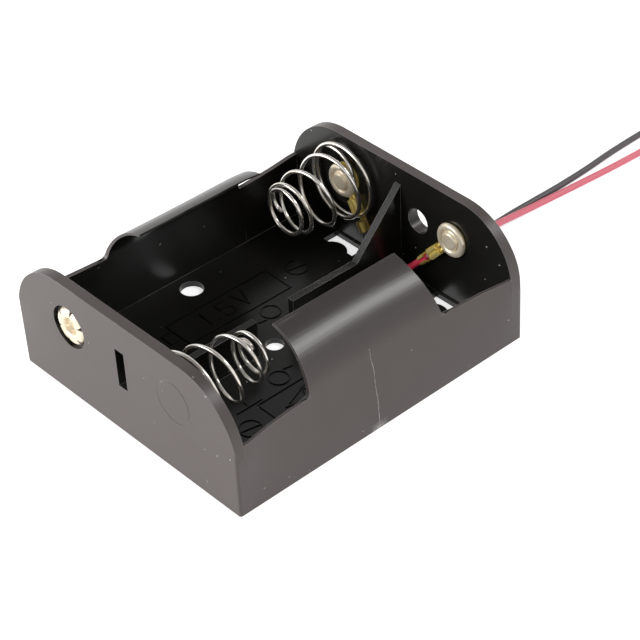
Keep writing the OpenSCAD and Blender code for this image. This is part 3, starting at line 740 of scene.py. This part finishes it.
def bendWalls(s, way, x, y, z):
    # Walls bend inwards with height, most at mid length, and run into the plates' edges; above them
    # each point of a curl keeps its share of the way from root to tip and its depth.
    top, half, foot, far = s["wallTop"], s["half"], s["innerFoot"], np.abs(y)
    # Wall faces start straight from the floor's edge, and their tops are as thick along the curls as beside
    low, high = s["rootHeights"]
    atFoot = (x > half - 0.01) & (z > low) & (z < high) & (far < 30.7)
    x = np.where(atFoot, x - s["lean"] * z / top, x)
    curlFoot = top + np.where(far < s["curlHalf"], *s["footStep"])
    between = (x > s["wallRoots"][0]) & (x < s["wallRoots"][1])
    wallInner = between & (z > high) & (z < curlFoot) & (far < s["facePast"])
    thick = np.where((way > 0) & (far > s["curlEnd"]), s["topThin"], s["topThick"])
    rise = (z - s["floor"]) / (top - s["floor"])
    x = np.where(wallInner, foot + (half - s["lean"] - thick - foot) * rise, x)
    ends, middle = (np.where(way > 0, s["bowRight"][i], s["bowLeft"][i]) for i in (0, 1))
    bow = ends + (middle - ends) * (1 - (y / s["bowHalf"]) ** 2)
    near = np.clip((s["facePast"] - far) / s["blend"], 0, 1)
    near = near * near * (3 - 2 * near)
    plateLean = s["plateLean"] * np.clip((z - s["shoulderFrom"]) / (top - s["shoulderFrom"]), 0, 1)
    low = np.clip(z / top, 0, 1)
    onWall = (x > s["inner"]) & (far < s["facePast"]) & (z < curlFoot) & (x < half - s["lean"] * low + 0.02)
    bent = low ** s["bend"]
    bowed = x + (s["lean"] * low - near * bow * bent - (1 - near) * plateLean) * onWall
    # Curls: the depth is thinned towards the tip, whose corners are rounded by a shorter way there
    cx, cz, r = s["curl"]
    out, turned = np.hypot(x - cx, z - cz), np.degrees(np.arctan2(z - cz, x - cx)) - s["curlFrom"]
    onCurl = (z >= curlFoot) & (x > s["curlIn"]) & (far < s["curlEnd"]) & (out > r - 2)
    rounding = np.where(way < 0, s["tipRound"][2], np.where(y > 0, s["tipRound"][1], s["tipRound"][0]))
    into = np.clip(far - (s["rootHalf"] - rounding), 0, rounding)
    short = (rounding - np.sqrt(rounding ** 2 - into ** 2)) / s["curlLength"]
    k = np.clip(turned / s["curlTurn"], 0, 1) * (1 - short)
    across, up, a = newCurl(s, k)
    root = half - bow
    tip = np.where(way > 0, s["tipRight"], s["tipLeft"])
    depth = (r - out) * s["topThick"] / s["curlThick"] * (1 - s["thin"] * k)
    # The left curl droops at its far end
    reach = np.clip((y - s["droopFrom"]) / (s["rootHalf"] - s["droopFrom"]), 0, 1)
    sag = s["droop"] * (way < 0) * reach ** 2
    x = np.where(onCurl, root + across * (tip - root) - depth * np.cos(a), bowed)
    z = np.where(onCurl, top + up * (s["tipZ"] - sag - top) - depth * np.sin(a), z)
    # The fillets at a curl's root are tighter
    past = np.clip(np.abs(y) - s["rootHalf"], 0, s["filletWide"])
    atFillet = (far < s["curlEnd"]) & (z > top - s["filletFrom"]) & (x > s["filletX"])
    return x, y - np.sign(y) * past * (1 - s["fillet"]) * atFillet, z


def drawRecesses(s, way, x, y, z):
    # Recesses and the spare contact's line are drawn in round their contacts, and that line is faint.
    band = (s["recess"] - s["recessBand"][0], s["recess"] + s["recessBand"][1])
    for place in (tray["plusX"], tray["minusX"]):
        away = np.hypot(x - place, z - tray["contactZ"])
        edge = (np.abs(y) > s["recessFrom"]) & (away > band[0]) & (away < band[1])
        pull = np.where(edge, s["newRecess"] / s["recess"], 1)
        x, z = place + (x - place) * pull, tray["contactZ"] + (z - tray["contactZ"]) * pull
    close = np.hypot(x - tray["minusX"], z - tray["contactZ"]) < s["faintHalf"]
    line = (np.abs(y) > s["faintFrom"]) & (np.abs(y) < s["end"] - 0.005) & close & (way > 0)
    y = np.where(line, np.sign(y) * (s["end"] - (s["end"] - np.abs(y)) * s["faint"]), y)
    return x, y, z


def draftPlate(s, x, y, z):
    # The lead end's plate stands out a little towards its foot, and its corners are nearly sharp.
    corner, small = s["corner"], s["sharpCorner"]
    outside = y > s["end"] - s["outerSkin"]
    dx, dy = x - (s["half"] - corner), y - (s["end"] - corner)
    atCorner = (dx > 1e-3) & (dy > 1e-3)
    x = np.where(atCorner & (z < s["shoulderFrom"] + 0.05), s["half"] - small + dx / corner * small, x)
    y = np.where(atCorner, s["end"] - small + dy / corner * small, y)
    foot = (y > s["draftFoot"][0]) * np.clip(1 - z / s["draftFoot"][1], 0, 1)
    return x, y + s["draft"] * np.where(outside, 1 - z / s["top"], foot), z


def bowedTray(s):
    # Both sides are worked as one, with the side's sign kept apart.
    mesh, p = mergedCopy("housing", lambda b: cutTray(b, s))
    x, y, z = p.T
    way, x = np.sign(x), np.abs(x)
    x, y, z = bendWalls(s, way, x, y, z)
    x, y, z = drawRecesses(s, way, x, y, z)
    x, y, z = draftPlate(s, x, y, z)
    mesh.vertices.foreach_set("co", (np.stack([x * way, y, z], -1) * mm).ravel())
    obj = bpy.data.objects.new("trayShell", mesh)
    bpy.context.scene.collection.objects.link(obj)
    finishPiece(obj, "tray", "black_plastic", "blackPlastic", 28, ["housing"])


bowedTray(trayShape)

# Marks on the floor, as low moulded lines: the cell's outline, its voltage, the minus in a ring and
# the ejector ring. The other bay has the same marks turned half round.
marks = {
    "floor": 1.1, "wide": 0.38, "high": 0.21, "under": -0.03, "inner": 0.2, "curved": 12,
    "lines": [
        [(-17.4, -10.6), (-17.4, 13.2), (-10.4, 13.2), (-10.4, -10.6), (-12.6, -10.6), (-12.6, -13.1),
         (-15.6, -13.1), (-15.6, -10.6), (-17.4, -10.6)],
        [(-15.6, -10.6), (-12.6, -10.6)],
        [(-16.1, -4.0), (-12.0, -4.2)],
        [(-12.45, -2.2), (-12.45, -1.8)],
        [(-16.0, 1.6), (-16.0, -0.5), (-14.1, -0.6), (-14.3, 0.3), (-14.2, 1.1), (-13.7, 1.7), (-13.0, 1.85),
         (-12.3, 1.5), (-11.9, 0.7), (-12.0, -0.2), (-12.5, -0.7)],
        [(-16.1, 3.4), (-12.0, 4.7), (-16.1, 6.0)],
        [(-6.6, 1.8), (-6.2, 3.6)],
        [(-14.5, 16.0), (-13.7, 20.0)],
    ],
    "rings": [((-14.1, 18.0), 2.1), ((-7.5, 5.7), 1.85)],
    "extra": [[(11.6, -2.9), (13.9, -9.0)], [(14.2, -10.2), (14.8, -7.6)], [(7.6, -14.4), (9.7, -14.4)],
              [(9.7, -17.2), (9.7, -11.6)]],
}


def ribbon(s, line):
    # A low ridge with sloping sides along a line: four points across it at each point of the line.
    p = np.array(line, float)
    a, b = unit(p[1:] - p[:-1]), unit(np.gradient(p, axis=0))
    side = np.stack([-b[:, 1], b[:, 0]], -1)
    along = np.concatenate([a, a[-1:]])
    stretch = 1 / np.clip(np.abs(np.sum(b * along, 1)), 0.5, 1)
    across = np.array([0.5, s["inner"], -s["inner"], -0.5]) * s["wide"]
    xy = p[:, None] + side[:, None] * across[None, :, None] * stretch[:, None, None]
    z = s["floor"] + np.array([s["under"], s["high"], s["high"], s["under"]])
    z = np.broadcast_to(z[None, :, None], (len(p), 4, 1))
    last = len(p) * 4
    faces = gridFaces(len(p), 4, True) + [[0, 1, 2, 3], [last - 1, last - 2, last - 3, last - 4]]
    return np.concatenate([xy, z], -1).reshape(-1, 3), faces


def floorMarks(s):
    # Corners of straight lines are kept apart, so that the ridge stays as wide; curved lines stay whole.
    t = np.linspace(0, 2 * np.pi, 41)
    lines = [np.array(x, float) for x in s["lines"]]
    lines += [np.stack([cx + r * np.cos(t), cy + r * np.sin(t)], -1) for (cx, cy), r in s["rings"]]
    parts = []
    for line in lines + [-x for x in lines] + [np.array(x, float) for x in s["extra"]]:
        if len(line) > s["curved"]:
            parts.append(ribbon(s, line))
        else:
            parts += [ribbon(s, line[i:i + 2]) for i in range(len(line) - 1)]
    return join(parts)


addPiece("floorMarks", *floorMarks(marks), "tray", "black_plastic", "glossyBlack", 20)
print("tray made")

# Lugs: the CAD lugs merged, their rings drawn in under the rivet heads, with rolled wings along the tongue
lugShape = {
    "ring": 3.72, "newRing": 3.15, "blend": 5.2, "past": 99, "rise": 0.62,
    "wings": (3.3, 6.6), "wingRadius": 0.36, "wingApart": 0.62, "wingNear": 0.75,
    "red": {"x": tray["plusX"], "side": -1, "lean": 48},
    "black": {"x": -tray["minusX"], "side": 1, "lean": 59},
}


def lugPiece(s, colour):
    # Radius from the contact shrinks to the new ring inside the old one, and comes back to itself at the
    # blend radius. Each wing runs along the tongue and a little outwards.
    own = s[colour]
    mesh, p = mergedCopy("lug_" + colour)
    dx, dz = p[:, 0] - own["x"], p[:, 2] - tray["contactZ"]
    r = np.hypot(dx, dz) + 1e-9
    new = np.interp(r, [0, s["ring"], s["blend"], s["past"]], [0, s["newRing"], s["blend"], s["past"]])
    p[:, 0], p[:, 2] = own["x"] + dx * new / r, tray["contactZ"] + dz * new / r
    a = math.radians(own["lean"])
    along, out = np.array([own["side"] * math.cos(a), 0, -math.sin(a)]), np.array([0, -1.0, 0])
    aside = np.cross(along, out)
    t = np.linspace(0, 1, 9)[:, None]
    start = np.array([own["x"], tray["face"], tray["contactZ"]]) + out * s["rise"]
    first, last = s["wings"]
    path = start + along * (first + (last - first) * t)
    apart = s["wingApart"] * (s["wingNear"] + (1 - s["wingNear"]) * t)
    wings = [tube(path + aside * k * apart, s["wingRadius"], (0, 1, 0.01), 12, 0.6) for k in (-1, 1)]
    points, faces = join([(p, [list(f.vertices) for f in mesh.polygons])] + wings)
    addPiece(colour + "Lug", points, faces, "tray", "brass", "stampedBrass", 35, ["lug_" + colour])


for colour in ("red", "black"):
    lugPiece(lugShape, colour)
    strands = nodes["core_" + colour].data.materials
    strands.clear()
    strands.append(looks["tinnedStrands"])
print("lugs made")

# The table
floorSet = {"size": 3.0, "tones": ((0.80, 0.80, 0.80), (0.784, 0.784, 0.784)), "cloud": 6.0, "glow": 0.70}


def makeFloor(s):
    # Matt and pale, with a white glow that only the camera, reflections and clear things see.
    m, t, where = startTree("paleTable")
    cloud = fill(t, "TexNoise", {0: where}, in2=s["cloud"], in3=2.0)
    matt = fill(t, "BsdfDiffuse", {0: mixColour(t, cloud.outputs[0], *s["tones"])})
    rays = fill(t, "LightPath").outputs
    seen = calc(t, "MAXIMUM", rays["Is Camera Ray"], rays["Is Glossy Ray"])
    seen = calc(t, "MAXIMUM", seen, rays["Is Transmission Ray"])
    glow = fill(t, "Emission", {1: calc(t, "MULTIPLY", seen, s["glow"])}, in0=white)
    both = fill(t, "AddShader", {0: matt.outputs[0], 1: glow.outputs[0]})
    fill(t, "OutputMaterial", {0: both.outputs[0]})
    h = s["size"] / 2
    mesh = bpy.data.meshes.new("table")
    mesh.from_pydata([(-h, -h, 0), (h, -h, 0), (h, h, 0), (-h, h, 0)], [], [(0, 1, 2, 3)])
    mesh.materials.append(m)
    obj = bpy.data.objects.new("table", mesh)
    bpy.context.scene.collection.objects.link(obj)


makeFloor(floorSet)

print("scene made")
